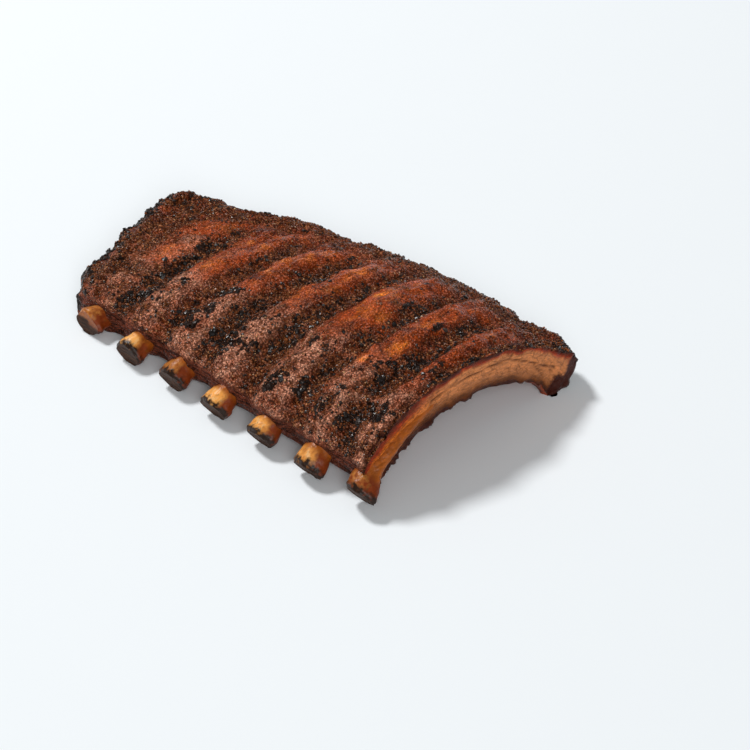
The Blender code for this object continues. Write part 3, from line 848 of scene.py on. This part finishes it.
def smoked_bark(colours):
    """Smoked pork crust: sugar, paprika and pepper baked on with smoke.  It looks like wet dark grit, tacky
    and orange where fat has glazed it, dull and brownish where dry; its glints, the sheen on its rub and the
    shade between its grains are painted into the colour."""
    material, add, place, glaze, gold, dust, grit, burnt, side, raised = new_material(
        "smoked_bark", "glaze", "gold", "dust", "grit", "burnt", "side", "raised")
    # Grit of 0.9 mm: real rub is 0.3 to 0.8 mm, and is drawn a little coarser to show.
    grain = add("TexVoronoi", {"Vector": place, "Scale": 1 / 0.0009})
    own = add("SeparateColor", {"Color": grain.node.outputs["Color"]})
    blotch, fine, wrinkle = (
        add("TexNoise", {"Vector": place, "Scale": 1 / size, "Detail": detail})
        for size, detail in ((0.005, 4.0), (0.0008, 4.0), (0.0022, 2.0))
    )
    along = add("Mapping", {"Vector": place, "Scale": (1 / 0.0012, 1 / 0.005, 1 / 0.0012)})
    strand = add("TexNoise", {"Vector": along, "Scale": 1.0, "Detail": 6.0, "Roughness": 0.65})
    level = add("Mapping", {"Vector": place, "Scale": (1 / 0.012, 1 / 0.0010, 1 / 0.0010)})
    streak = add("TexNoise", {"Vector": level, "Scale": 1.0, "Detail": 3.0})

    # What lies on the plain crust: dry rub with a painted sheen, grit in the valleys, golden glaze.
    base = add("ValToRGB", {"Fac": blotch}, [(0.38, tone(colours.bark_dark)), (0.62, tone(colours.bark_red))])
    # Painted highlight: the rub turns pale on its higher parts, and stays dark rub in the hollows.
    painted_highlight = add("Math", {0: fine, 1: raised}, operation="MULTIPLY")
    painted_highlight = add("MapRange", {"Value": painted_highlight, "From Min": 0.04, "From Max": 0.60})
    dry = add("Mix", {"Factor": painted_highlight, "A": tone(colours.dust_dark, 1.15), "B": tone(colours.dust_sheen_highlight)},
              data_type="RGBA")
    gritty = add("ValToRGB", {"Fac": own}, [
        (0.30, tone(colours.grit_dark)), (0.92, tone(colours.grit_pale)),
        (0.42, tone(colours.grit_brown, 0.8)), (0.78, tone(colours.grit_brown)),
    ])
    golden = add("Mix", {"Factor": gold, "A": tone(colours.glaze_red), "B": tone(colours.glaze_gold)},
                 data_type="RGBA")
    dull = add("MapRange", {"Value": strand, "From Min": 0.30, "From Max": 0.60})
    golden = add("Mix", {"Factor": dull, "A": tone(colours.bark_red, 0.7), "B": golden}, data_type="RGBA")
    for share, cover in ((dust, dry), (grit, gritty), (glaze, golden)):
        base = add("Mix", {"Factor": share, "A": base, "B": cover}, data_type="RGBA")

    # Painted light and shade: every grain and crumb is painted lighter on top and darker at its edge, and
    # thin painted highlights shine along the creases.
    crease = add("Math", {0: wrinkle, 1: 0.5}, operation="SUBTRACT")
    crease = add("Math", {0: crease}, operation="ABSOLUTE")
    ridge_line = add("MapRange", {"Value": crease, "From Max": 0.040, "To Min": 1.0, "To Max": 0.0})
    # Painted highlight lines along the creases, where the surface stands higher.
    tops = add("Math", {0: ridge_line, 1: raised}, operation="MULTIPLY")
    painted_grain_shading = add("MapRange", {"Value": grain, "From Min": 0.20, "From Max": 0.60, "To Min": 2.3,
                                   "To Max": 0.50})
    painted_crumb_shading = add("MapRange", {"Value": raised, "To Min": 0.76, "To Max": 1.42})
    less = add("MapRange", {"Value": glaze, "To Min": 1.0, "To Max": 0.5})
    painted_grain_shading = add("Mix", {"Factor": less, "A": 1.15, "B": painted_grain_shading})
    painted_gleam = add("MapRange", {"Value": tops, "To Min": 0.96, "To Max": 2.2})
    speckle = add("MapRange", {"Value": fine, "From Min": 0.35, "From Max": 0.65, "To Min": 0.40,
                               "To Max": 1.70})
    painted_gleam = add("Math", {0: painted_gleam, 1: speckle}, operation="MULTIPLY")
    painted_shading = add("Math", {0: painted_grain_shading, 1: painted_crumb_shading}, operation="MULTIPLY")
    painted_shading = add("Math", {0: painted_shading, 1: painted_gleam}, operation="MULTIPLY")
    base = add("VectorMath", {0: base, "Scale": painted_shading}, operation="SCALE")

    # What lies over all of that: painted glints in the pale fat colour where the painted light is brightest,
    # soot, char, and the dried sides.
    painted_glints = add("MapRange", {"Value": painted_shading, "From Min": 1.7, "From Max": 3.2, "To Max": 0.28})
    sooty = add("MapRange", {"Value": fine, "From Min": 0.56, "From Max": 0.66, "To Max": 0.75})
    crisp = add("MapRange", {"Value": own, "To Min": 0.35, "To Max": 1.0})
    black = add("Mix", {"Factor": crisp, "A": tone(colours.char, 2.2), "B": tone(colours.char)},
                data_type="RGBA")
    ragged = add("Math", {0: own, 1: -0.6, 2: burnt}, operation="MULTIPLY_ADD")
    ragged = add("MapRange", {"Value": ragged, "From Min": 0.10, "From Max": 0.45})
    dried = add("ValToRGB", {"Fac": streak}, [
        (0.40, tone(colours.side_meat, 0.35)), (0.60, tone(colours.side_meat, 1.5)),
    ])
    for share, cover in (
        (painted_glints, tone(colours.fat)), (sooty, tone(colours.bark_dark, 0.6)), (ragged, black), (side, dried),
    ):
        base = add("Mix", {"Factor": share, "A": base, "B": cover}, data_type="RGBA")

    roughness = add("MapRange", {"Value": glaze, "To Min": 0.20, "To Max": 0.18})
    height = add("Math", {0: fine, 1: grain}, operation="SUBTRACT")
    height = add("Math", {0: ridge_line, 1: 0.6, 2: height}, operation="MULTIPLY_ADD")
    bump = add("Bump", {"Height": height, "Strength": less, "Distance": 0.0009})
    bump = add("Bump", {"Height": strand, "Strength": 0.6, "Distance": 0.0010, "Normal": bump})
    finish_material(add, {"Base Color": base, "Roughness": roughness, "IOR": 1.45,
                          "Specular IOR Level": 0.18, "Normal": bump})
    return material


def cut_meat(colours):
    """Cooked pork cut with a knife: moist fibres, tan inside and red where smoke went in."""
    material, add, place, depth, near_bone, seam, crusted = new_material(
        "cut_meat", "depth", "near_bone", "seam", "crusted")
    # Muscle fibres run along the rib; bundles are 1 to 2 mm wide.
    along = add("Mapping", {"Vector": place, "Scale": (1 / 0.0008, 1 / 0.0018, 1 / 0.0008)})
    fibre = add("TexNoise", {"Vector": along, "Scale": 1.0, "Detail": 6.0, "Roughness": 0.65})
    blotch = add("TexNoise", {"Vector": place, "Scale": 1 / 0.006, "Detail": 3.0})
    flesh = add("ValToRGB", {"Fac": depth}, [
        (0.04, tone(colours.bark_dark, 0.5)), (0.985, tone(colours.bark_dark, 0.7)),
        (0.12, tone(colours.meat_brown, 0.38)), (0.30, tone(colours.meat_tan, 0.75)),
        (0.50, tone(colours.meat_tan)), (0.80, tone(colours.meat_tan, 0.9)),
        (0.88, tone(colours.smoke_ring, 1.35)), (0.93, tone(colours.smoke_ring, 0.55)),
    ])
    gristle = add("ValToRGB", {"Fac": depth}, [
        (0.05, tone(colours.bark_dark, 0.5)), (0.98, tone(colours.bark_dark, 0.7)),
        (0.24, tone(colours.meat_brown, 0.30)), (0.46, tone(colours.meat_brown, 0.80)),
        (0.62, tone(colours.meat_brown, 1.50)), (0.78, tone(colours.smoke_ring, 1.2)),
        (0.90, tone(colours.smoke_ring, 0.45)),
    ])
    base = add("Mix", {"Factor": near_bone, "A": flesh, "B": gristle}, data_type="RGBA")
    level = add("SeparateXYZ", {"Vector": place}).node.outputs["Y"]
    level = add("Math", {0: level, 1: 1 / 0.007}, operation="MULTIPLY")
    band = add("Math", {0: depth, 1: 16.0}, operation="MULTIPLY")
    band = add("CombineXYZ", {"X": band, "Y": level})
    strand = add("TexNoise", {"Vector": band, "Scale": 1.0, "Detail": 4.0})
    pale, stringy, patchy, strand = (
        add("MapRange", {"Value": value, "From Min": 0.5 - reach, "From Max": 0.5 + reach, "To Min": low,
                         "To Max": high})
        for value, reach, low, high in (
            (fibre, 0.14, 0.76, 1.16), (fibre, 0.14, 0.55, 1.55), (blotch, 0.15, 0.82, 1.10),
            (strand, 0.15, 0.78, 1.20),
        )
    )
    patchy = add("Math", {0: patchy, 1: strand}, operation="MULTIPLY")
    pale = add("Mix", {"Factor": near_bone, "A": pale, "B": stringy})
    shade = add("Math", {0: pale, 1: patchy}, operation="MULTIPLY")
    base = add("VectorMath", {0: base, "Scale": shade}, operation="SCALE")

    # The seam and the crusted rim are dark, and the clefts between bundles are painted shade.
    bundle = add("VectorMath", {0: blotch.node.outputs["Color"], "Scale": 0.010}, operation="SCALE")
    bundle = add("VectorMath", {0: place, 1: bundle}, operation="ADD")
    painted_cleft_shade = add("TexVoronoi", {"Vector": bundle, "Scale": 1 / 0.0060}, feature="DISTANCE_TO_EDGE")
    painted_cleft_shade = add("MapRange", {"Value": painted_cleft_shade, "From Max": 0.05, "To Min": 0.55, "To Max": 0.0})
    crumbly = add("Math", {0: crusted, 1: fibre}, operation="ADD")
    crumbly = add("MapRange", {"Value": crumbly, "From Min": 0.85, "From Max": 1.15})
    for share, cover in (
        (seam, tone(colours.meat_brown, 0.25)), (painted_cleft_shade, tone(colours.meat_brown, 0.30)),
        (crumbly, tone(colours.bark_dark, 0.6)),
    ):
        base = add("Mix", {"Factor": share, "A": base, "B": cover}, data_type="RGBA")
    bump = add("Bump", {"Height": fibre, "Strength": 0.8, "Distance": 0.0008})
    finish_material(add, {"Base Color": base, "Roughness": 0.34, "IOR": 1.42,
                          "Specular IOR Level": 0.25, "Normal": bump})
    return material


def inner_membrane(colours):
    """The rack's inner face: smoked membrane drawn tight over the ribs, leathery and brown."""
    material, add, place = new_material("inner_membrane")
    blotch = add("TexNoise", {"Vector": place, "Scale": 1 / 0.006, "Detail": 5.0})
    base = add("ValToRGB", {"Fac": blotch}, [
        (0.35, tone(colours.side_meat, 0.6)), (0.65, tone(colours.glaze_red)),
    ])
    bump = add("Bump", {"Height": blotch, "Strength": 0.6, "Distance": 0.0006})
    finish_material(add, {"Base Color": base, "Roughness": 0.45, "IOR": 1.45, "Normal": bump})
    return material


def smoked_bone(colours):
    """Smoked pork rib bone: hard and waxy, golden on top and on its -X side, red-brown by the meat and on its
    other side and underside, charred at its sawn end.  The gold and red-brown are partly smoked tone and
    partly painted light and shade."""
    material, add, place, gold, rim, end, film = new_material("smoked_bone", "gold", "rim", "end", "film")
    along = add("Mapping", {"Vector": place, "Scale": (1 / 0.0010, 1 / 0.005, 1 / 0.0010)})
    grain = add("TexNoise", {"Vector": along, "Scale": 1.0, "Detail": 4.0})
    across = add("Mapping", {"Vector": place, "Scale": (1 / 0.006, 1 / 0.0009, 1 / 0.0009)})
    saw = add("TexNoise", {"Vector": across, "Scale": 1.0, "Detail": 3.0})
    blotch = add("TexNoise", {"Vector": place, "Scale": 1 / 0.0022, "Detail": 4.0})

    # Gold where the bone's top and -X side show, partly its smoked tone and partly painted light; red-brown
    # elsewhere, partly painted shade.
    gold_and_painted_light = add("Math", {0: gold, 1: blotch}, operation="ADD")
    gold_and_painted_light = add("MapRange", {"Value": gold_and_painted_light, "From Min": 0.60, "From Max": 1.30})
    base = add("Mix", {"Factor": gold_and_painted_light, "A": tone(colours.bone_red), "B": tone(colours.bone_gold)},
               data_type="RGBA")
    streaked = add("MapRange", {"Value": grain, "From Min": 0.52, "From Max": 0.72, "To Max": 0.6})
    # Painted highlight: pale streaks along the grain on the gold.
    painted_highlight = add("Math", {0: grain, 1: gold_and_painted_light}, operation="MULTIPLY")
    painted_highlight = add("MapRange", {"Value": painted_highlight, "From Min": 0.42, "From Max": 0.60, "To Max": 0.5})
    meaty = add("Mix", {"Factor": grain, "A": tone(colours.meat_brown, 0.20),
                        "B": tone(colours.meat_brown, 1.5)}, data_type="RGBA")
    sooty = add("MapRange", {"Value": blotch, "From Min": 0.30, "From Max": 0.70})
    burnt = add("Math", {0: rim, 1: sooty}, operation="ADD")
    burnt = add("MapRange", {"Value": burnt, "From Min": 0.80, "From Max": 1.35})
    sawn = add("ValToRGB", {"Fac": saw}, [
        (0.38, tone(colours.bone_end, 0.45)), (0.64, tone(colours.bone_end, 1.2)),
    ])
    for share, cover in (
        (streaked, tone(colours.bone_red, 0.6)), (painted_highlight, tone(linear("#FFCF8C"))), (film, meaty),
        (burnt, tone(colours.bone_end, 0.35)), (end, sawn),
    ):
        base = add("Mix", {"Factor": share, "A": base, "B": cover}, data_type="RGBA")
    height = add("Math", {0: grain, 1: blotch}, operation="ADD")
    bump = add("Bump", {"Height": height, "Strength": 0.7, "Distance": 0.0004})
    roughness = add("MapRange", {"Value": end, "To Min": 0.32, "To Max": 0.62})
    finish_material(add, {"Base Color": base, "Roughness": roughness, "IOR": 1.5,
                          "Specular IOR Level": 0.22, "Normal": bump})
    return material


def spice(name, dark, light, roughness):
    """Loose spice baked on: each grain has its own tone between two colours."""
    material, add, place, own = new_material(name, "tone")
    fine = add("TexNoise", {"Vector": place, "Scale": 1 / 0.0006, "Detail": 2.0})
    base = add("Mix", {"Factor": own, "A": tone(dark), "B": tone(light)}, data_type="RGBA")
    bump = add("Bump", {"Height": fine, "Strength": 0.6, "Distance": 0.0002})
    finish_material(add, {"Base Color": base, "Roughness": roughness, "Specular IOR Level": 0.3,
                          "Normal": bump})
    return material


# ---- pieces ----

def ball(levels):
    """Points and triangles of a ball of width 1."""
    mesh = bpy.data.meshes.new("ball")
    builder = bmesh.new()
    bmesh.ops.create_icosphere(builder, subdivisions=levels, radius=0.5)
    builder.to_mesh(mesh)
    builder.free()
    points = mesh_points(mesh)
    faces = np.array([tuple(face.vertices) for face in mesh.polygons])
    bpy.data.meshes.remove(mesh)
    return points, faces


def chance(shares, *masks):
    """How likely a grain is: the first share everywhere, and one more by each mask."""
    return sum((share * mask for share, mask in zip(shares[1:], masks)), shares[0])


def scatter(piece, name, number, size, chances):
    """Loose grains on the crust, more of them where the chances are higher."""
    spice_name, dark, light, roughness, levels, flatness, sink, seed = GRAINS[name]
    material = spice(spice_name, linear(dark), linear(light), roughness)
    rng = np.random.default_rng(seed)
    mesh = piece.data
    mesh.calc_loop_triangles()
    triangles = np.zeros(len(mesh.loop_triangles) * 3, np.int32)
    mesh.loop_triangles.foreach_get("vertices", triangles)
    triangles = triangles.reshape(-1, 3)
    corners = mesh_points(mesh)[triangles]
    cross = np.cross(corners[:, 1] - corners[:, 0], corners[:, 2] - corners[:, 0])
    area = np.linalg.norm(cross, axis=1)
    weight = area * chances[triangles].mean(1)
    picked = rng.choice(len(triangles), number, p=weight / weight.sum())
    shares = rng.dirichlet((1, 1, 1), number)
    places = (corners[picked] * shares[..., None]).sum(1)
    normals = cross[picked] / np.maximum(area[picked], TINY_AREA)[:, None]

    shape, faces = ball(levels)
    widths = size * rng.lognormal(*GRAIN_SPREAD, number).clip(*GRAIN_LIMITS)
    first = np.cross(normals, rng.normal(size=(number, 3)))
    first /= np.linalg.norm(first, axis=1)[:, None]
    second = np.cross(normals, first)
    stretch = rng.uniform(*GRAIN_STRETCH, (number, 3)) * (1, 1, flatness)
    offsets = rng.uniform(-1, 1, (number, len(shape)))
    bumpy = shape[None] * (1 + GRAIN_ROUGHNESS * offsets[..., None])
    bumpy = bumpy * (stretch * widths[:, None])[:, None, :]
    placed = np.einsum("nvi,nij->nvj", bumpy, np.stack([first, second, normals], 1))
    placed += (places + normals * (widths * flatness * (0.5 - sink))[:, None])[:, None, :]
    points = placed.reshape(-1, 3)
    points[:, 2] = np.maximum(points[:, 2], 0)
    faces = (faces[None] + (np.arange(number) * len(shape))[:, None, None]).reshape(-1, 3)
    own = np.repeat(rng.uniform(0, 1, number), len(shape))
    grains = new_piece(name, points, faces.tolist(), [material], {"tone": own}, angular=True)


class RACK_OT_add_meat(bpy.types.Operator):
    """Add the arched slab of meat with its crust, cut face and loose grains"""

    bl_idname = "rack.add_meat"
    bl_label = "Add meat"

    def execute(self, context):
        sizes, colours = context.scene.rack_sizes, context.scene.rack_colours
        columns = LEFT_COLUMNS + (RIB_COUNT - 1) * PITCH_COLUMNS + RIGHT_COLUMNS
        places, faces, sides = box_skin(columns, ROWS, LAYERS, UNDER_STEP)
        stations = np.concatenate([
            np.linspace(-LAST_RIB - 1, -LAST_RIB, LEFT_COLUMNS, endpoint=False),
            np.linspace(-LAST_RIB, LAST_RIB, (RIB_COUNT - 1) * PITCH_COLUMNS, endpoint=False),
            np.linspace(LAST_RIB, LAST_RIB + 1, RIGHT_COLUMNS + 1),
        ])
        station = stations[places[:, 0]]
        across = crowded(places[:, 1] / ROWS, ROW_CROWDING)
        layer = crowded(places[:, 2] / LAYERS, LAYER_CROWDING)
        points = slab_points(station, across, layer)
        masks = crust_masks(station, across, layer, points)
        cut = ease(station, *CUT_PLANE)
        relief, burnt, raised = crust_relief(sizes, station, across, layer, points, masks, cut)
        relief -= CRUST_SINK * ease(layer, *TOP)

        seam = seam_depth(across, layer, SEAM, SEAM_HALF_WIDTH)
        for branch in SEAM_BRANCHES:
            seam = np.maximum(seam, BRANCH_SHARE * seam_depth(across, layer, branch, BRANCH_HALF_WIDTH))
        relief -= SEAM_DEPTH * cut * seam
        relief += CUT_HEIGHT * cut * rough_noise(points, *CUT_NOISE, octaves=2)

        skins = [smoked_bark(colours), cut_meat(colours), inner_membrane(colours)]
        piece = new_piece("meat_slab", points, faces, skins)
        mesh = piece.data
        shaped = points + vertex_normals(mesh) * relief[:, None]
        shaped[:, 2] = np.maximum(shaped[:, 2], 0)
        mesh.vertices.foreach_set("co", shaped.astype(np.float32).ravel())
        kinds = np.select([sides == CUT_SIDE, sides == UNDER_SIDE], [1, 2], 0)
        mesh.polygons.foreach_set("material_index", kinds.astype(np.int32))
        at_foot, in_layer, at_edge = CUT_CRUST
        masks.update(
            burnt=burnt, raised=raised,
            depth=np.clip(layer + DEPTH_WANDER * rough_noise(points, *DEPTH_NOISE), 0, 1),
            near_bone=ease(-across, *NEAR_BONE), seam=seam,
            crusted=np.maximum(ease(across, *at_foot) * ease(-layer, *in_layer), ease(across, *at_edge)),
        )
        add_masks(mesh, masks)
        mesh.update()
        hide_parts("meat")

        char, grit, glaze, dust = (masks[name] for name in ("char", "grit", "glaze", "dust"))
        loose = ease(layer, *TOP) * (1 - cut) * np.where(layer > FLAT_LAYER, 1.0, EDGE_LOOSE)
        clustered = remaining(blots(points, *CLUSTERS), PEPPER_BY_CLUSTER)
        for name, number, size, chances in (
            ("cracked_pepper", sizes.pepper_count, sizes.pepper_size,
             chance(PEPPER_CHANCES, char, masks["valley"]) * clustered),
            ("burnt_crumbs", sizes.burnt_count, sizes.burnt_size, char ** 2),
            ("rub_grains", sizes.rub_count, sizes.rub_size,
             chance(RUB_CHANCES, grit, dust) * remaining(glaze, RUB_BY_GLAZE)),
            ("pale_specks", sizes.speck_count, sizes.speck_size,
             chance(SPECK_CHANCES, grit, dust) * remaining(glaze, SPECK_BY_GLAZE)),
        ):
            scatter(piece, name, number, size, loose * chances)
        return {"FINISHED"}


def bone_mesh(number, sizes):
    """Points, faces and masks of one rib bone, from its sawn end into the meat."""
    section = Section(np.full(1, float(number - 1 - LAST_RIB)))
    span = section.span[0]
    start = -OVERHANG[number - 1] / span
    reach = start + (BONE_REACH - start) * np.linspace(0, 1, BONE_RINGS) ** BONE_CROWDING
    knob = swell(reach - start, KNOB_FADE - start)
    half_width = BONE_HALF_WIDTH + (KNOB_HALF_WIDTH - BONE_HALF_WIDTH) * knob + KNOB_COAT * knob
    half_thick = BONE_HALF_THICKNESS + (KNOB_HALF_THICKNESS - BONE_HALF_THICKNESS) * knob + KNOB_COAT * knob
    rings = np.concatenate([np.full(CAP_RINGS, start), reach])
    tip = (rings - start) * span
    cap = np.linspace(0, 1, CAP_RINGS, endpoint=False)
    scale = np.concatenate([cap, 1 - TIP_ROUNDING * swell(tip[CAP_RINGS:], TIP_ROUND_WIDTH)])
    wide = np.concatenate([np.full(CAP_RINGS, half_width[0]), half_width]) * scale
    thick = np.concatenate([np.full(CAP_RINGS, half_thick[0]), half_thick]) * scale
    shift = SIDE_SHIFT[number - 1] + TIP_SHIFT[number - 1] * np.concatenate([np.ones(CAP_RINGS), knob])

    angle = np.linspace(0, 2 * np.pi, BONE_SIDES, endpoint=False)
    up, over = np.sin(angle), np.cos(angle)
    turn = BOX_TURN * number
    boxy = 1 + BOXINESS * np.cos(4 * angle) + BOXINESS * np.cos(3 * angle + turn)
    height = BONE_HEIGHT + thick[:, None] * (up * boxy)
    sideways = shift[:, None] + wide[:, None] * (over * boxy)
    slant = 0.5 + 0.5 * scale[:, None] * up
    slant = sizes.tip_slant * slant * np.clip(1 - tip / SLANT_REACH, 0, 1)[:, None]
    points = section.point(rings[:, None] + slant / span, height, sideways)
    out = points - points.mean(1, keepdims=True)
    out /= np.maximum(np.linalg.norm(out, axis=-1, keepdims=True), TINY)
    seed = BONE_SEED + BONE_SEED_STEP * number
    coarse, fine = BONE_NOISE
    uneven = rough_noise(points, coarse, seed) + BONE_FINE_SHARE * noise(points, fine, seed + 3)
    points += out * (sizes.bone_lump * uneven * scale[:, None])[..., None]
    marrow = noise(points[:CAP_RINGS], MARROW_NOISE, seed + 4)
    points[:CAP_RINGS, :, 1] += MARROW_DEPTH * (1 - cap[:, None] ** 2) + MARROW_HEIGHT * marrow
    points[..., 2] = np.maximum(points[..., 2], 0)

    faces = []
    for i in range(len(rings) - 1):
        for j in range(BONE_SIDES):
            k = (j + 1) % BONE_SIDES
            first, second = i * BONE_SIDES, (i + 1) * BONE_SIDES
            faces.append((first + j, first + k, second + k, second + j))
    last = (len(rings) - 1) * BONE_SIDES
    faces.append([last + j for j in range(BONE_SIDES)])

    in_cap = np.concatenate([np.ones(CAP_RINGS), np.zeros(BONE_RINGS)])[:, None]
    covered = (number == COVERED_BONE) * ease(scale[:, None] * up + COVER_TURN * over, *COVER_EDGE)
    # Gold on the top and the -X side: partly the bone's smoked tone, partly painted light.
    golden = BONE_GOLD[number - 1] * ease(up + PAINTED_LIGHT_TURN * over, *GOLD_AND_PAINTED_LIGHT_EDGE)
    masks = {
        "gold": golden * (1 - ease(tip, *GOLD_FADE))[:, None],
        "rim": swell(tip, RIM_WIDTH)[:, None] * (1 - covered),
        "end": in_cap * (1 - covered),
        "film": np.maximum(ease(tip, *FILM_START)[:, None], COVER_FILM * in_cap * covered),
    }
    masks = {name: values.ravel() for name, values in masks.items()}
    return points.reshape(-1, 3), faces, masks


class RACK_OT_add_bones(bpy.types.Operator):
    """Add the rib bones with their smoked, sawn tips"""

    bl_idname = "rack.add_bones"
    bl_label = "Add bones"

    def execute(self, context):
        material = smoked_bone(context.scene.rack_colours)
        for number in range(1, RIB_COUNT + 1):
            points, faces, masks = bone_mesh(number, context.scene.rack_sizes)
            piece = new_piece(f"rib_bone_{number}", points, faces, [material], masks)
            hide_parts(f"bone_{number}")
        return {"FINISHED"}


class RACK_OT_add_stage(bpy.types.Operator):
    """Add the pale floor, the soft lights and the camera"""

    bl_idname = "rack.add_stage"
    bl_label = "Add studio"

    def execute(self, context):
        scene, settings = context.scene, context.scene.rack_stage
        material, add, place = new_material("studio_floor")
        grain = add("TexNoise", {"Vector": place, "Scale": 40.0})
        base = add("Mix", {"Factor": grain, "A": tone(settings.floor_colour),
                           "B": tone(settings.floor_colour, 0.995)}, data_type="RGBA")
        finish_material(add, {"Base Color": base, "Roughness": 0.9})
        mesh = bpy.data.meshes.new("floor")
        square = [(-1, -1), (1, -1), (1, 1), (-1, 1)]
        mesh.from_pydata([(x * FLOOR_HALF, y * FLOOR_HALF, 0) for x, y in square], [], [(0, 1, 2, 3)])
        mesh.materials.append(material)
        floor = bpy.data.objects.new("floor", mesh)
        scene.collection.objects.link(floor)

        world = bpy.data.worlds.new("studio")
        scene.world = world
        world.use_nodes = True
        background = world.node_tree.nodes["Background"]
        background.inputs["Color"].default_value = (1.0, 1.0, 1.0, 1)
        background.inputs["Strength"].default_value = settings.sky
        target = Vector(LIGHT_TARGET)
        for name, position, width in LIGHTS:
            light = bpy.data.lights.new(name, "AREA")
            light.shape = "DISK"
            light.size = width
            light.energy = getattr(settings, name)
            lamp = bpy.data.objects.new(name, light)
            lamp.location = position
            lamp.rotation_euler = (target - lamp.location).to_track_quat("-Z", "Y").to_euler()
            scene.collection.objects.link(lamp)

        level = math.cos(CAMERA_RISE)
        back = Vector((math.sin(CAMERA_TURN) * level, -math.cos(CAMERA_TURN) * level, math.sin(CAMERA_RISE)))
        camera = bpy.data.objects.new("camera", bpy.data.cameras.new("camera"))
        camera.data.lens = CAMERA_LENS
        camera.data.sensor_width = CAMERA_SENSOR
        camera.location = Vector(CAMERA_AIM) + back * CAMERA_DISTANCE
        camera.rotation_euler = back.to_track_quat("Z", "Y").to_euler()
        scene.collection.objects.link(camera)
        scene.camera = camera
        scene.view_settings.view_transform = "Standard"
        return {"FINISHED"}


class RACK_PT_panel(bpy.types.Panel):
    """Sizes, colours and steps of the rack of ribs"""

    bl_idname = "RACK_PT_panel"
    bl_label = "Rack of ribs"
    bl_space_type = "VIEW_3D"
    bl_region_type = "UI"
    bl_category = "Rack of ribs"

    def draw(self, context):
        for group in (context.scene.rack_sizes, context.scene.rack_colours, context.scene.rack_stage):
            box = self.layout.box()
            for name in group.__annotations__:
                box.prop(group, name)
        for step in STEPS:
            self.layout.operator(step.bl_idname)


STEPS = (RACK_OT_add_meat, RACK_OT_add_bones, RACK_OT_add_stage)
CLASSES = (RackSizes, RackColours, StageSettings, *STEPS, RACK_PT_panel)


def register():
    for cls in CLASSES:
        bpy.utils.register_class(cls)
    bpy.types.Scene.rack_sizes = PointerProperty(type=RackSizes)
    bpy.types.Scene.rack_colours = PointerProperty(type=RackColours)
    bpy.types.Scene.rack_stage = PointerProperty(type=StageSettings)


def unregister():
    for name in ("rack_sizes", "rack_colours", "rack_stage"):
        delattr(bpy.types.Scene, name)
    for cls in reversed(CLASSES):
        bpy.utils.unregister_class(cls)


def main():
    register()
    bpy.ops.rack.add_meat()
    bpy.ops.rack.add_bones()
    bpy.ops.rack.add_stage()


if __name__ == "__main__":
    main()
